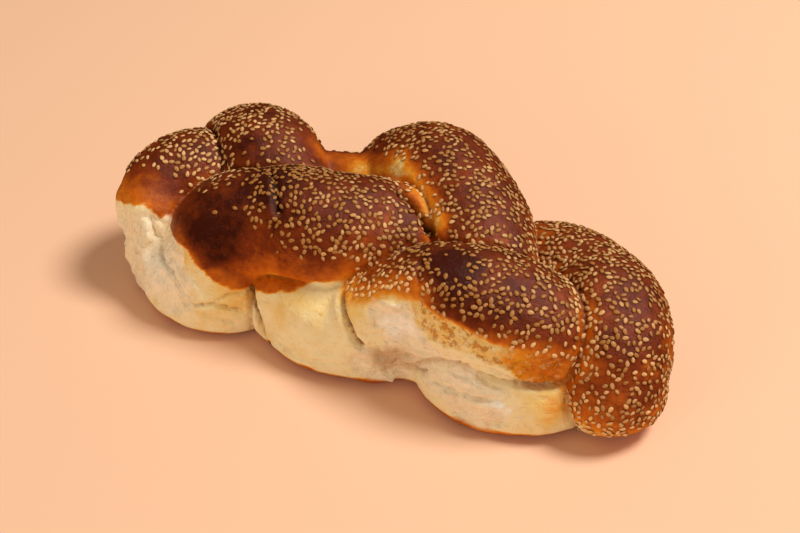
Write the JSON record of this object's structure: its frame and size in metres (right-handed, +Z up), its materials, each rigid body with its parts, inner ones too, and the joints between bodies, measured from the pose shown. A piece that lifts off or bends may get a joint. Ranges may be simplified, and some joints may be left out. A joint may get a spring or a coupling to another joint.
{
  "type": "braided loaf",
  "caption": "Braided sesame loaf of fused dough ropes, humped on top, flat underneath, with one long side flat and pale where it was pulled from its neighbour.",
  "frame": {"origin": "on the flat base, under the middle of the loaf's box", "axes": "+X along the loaf, towards the end that the last rope curls round; +Y to the back, away from the flat pale side; +Z up"},
  "size_m": [0.3012, 0.1402, 0.088],
  "materials": {
    "crust": "satin, egg-washed golden brown"
  },
  "bodies": {
    "root": {"braided_loaf": "crust"}
  },
  "joints": []
}
